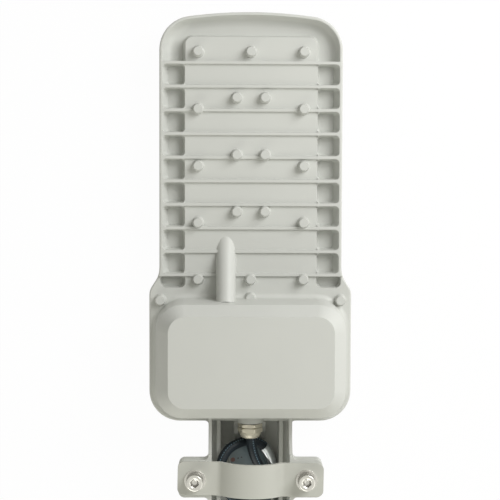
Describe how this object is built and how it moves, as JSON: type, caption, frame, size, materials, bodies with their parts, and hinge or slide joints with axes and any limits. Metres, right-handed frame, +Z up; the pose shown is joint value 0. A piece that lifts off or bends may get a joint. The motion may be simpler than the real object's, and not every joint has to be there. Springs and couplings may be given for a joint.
{
  "type": "street light head",
  "caption": "Flat die-cast LED street light head with a ribbed back, raised driver box, cable gland and a strap clamp for a side-entry spigot.",
  "frame": {"origin": "centre of the spigot socket mouth, on the spigot axis", "axes": "+Y from the socket to the tip, +Z up out of the ribbed back, lens side down"},
  "size_m": [0.1642, 0.4178, 0.0765],
  "materials": {
    "grey_coat": "satin, fine powder coat on die-cast aluminium",
    "strap_coat": "satin powder coat",
    "stainless": "bright stainless, turned and rolled",
    "nickel_brass": "nickel plated, bright",
    "black_rubber": "matt with a soft sheen",
    "silver_film": "metallised film",
    "clear_optic": "clear moulded polycarbonate",
    "board_white": "white solder mask",
    "phosphor": "yellow phosphor in a white package",
    "silicone": "matt silicone",
    "zinc_sheet": "galvanised sheet",
    "driver_case": "satin",
    "dark_plastic": "matt",
    "white_plastic": "matt",
    "core_brown": "PVC insulation",
    "core_blue": "PVC insulation"
  },
  "bodies": {
    "root": {"housing": "grey_coat", "gear_cover": "grey_coat", "clamp_strap": "strap_coat", "led_board": "board_white", "led_chips": "phosphor", "lens_panel": "clear_optic", "lens_seal": "silicone", "cover_gasket": "silicone", "lens_screws": "stainless", "board_screws": "stainless", "cover_screws": "stainless", "gear_tray": "zinc_sheet", "tray_screws": "stainless", "led_driver": "driver_case", "surge_protector": "dark_plastic", "terminal_block": "white_plastic", "input_leads": "core_brown", "output_leads": "core_blue", "gland_body": "nickel_brass", "gland_nut": "nickel_brass", "gland_locknut": "nickel_brass", "gland_seal": "black_rubber", "supply_cable": "black_rubber", "cable_end": "core_brown", "cable_label": "silver_film", "clamp_bolt_left": "stainless", "clamp_bolt_right": "stainless", "spring_washer_left": "stainless", "spring_washer_right": "stainless", "flat_washer_left": "stainless", "flat_washer_right": "stainless", "clamp_nut_left": "stainless", "clamp_nut_right": "stainless"}
  },
  "joints": []
}
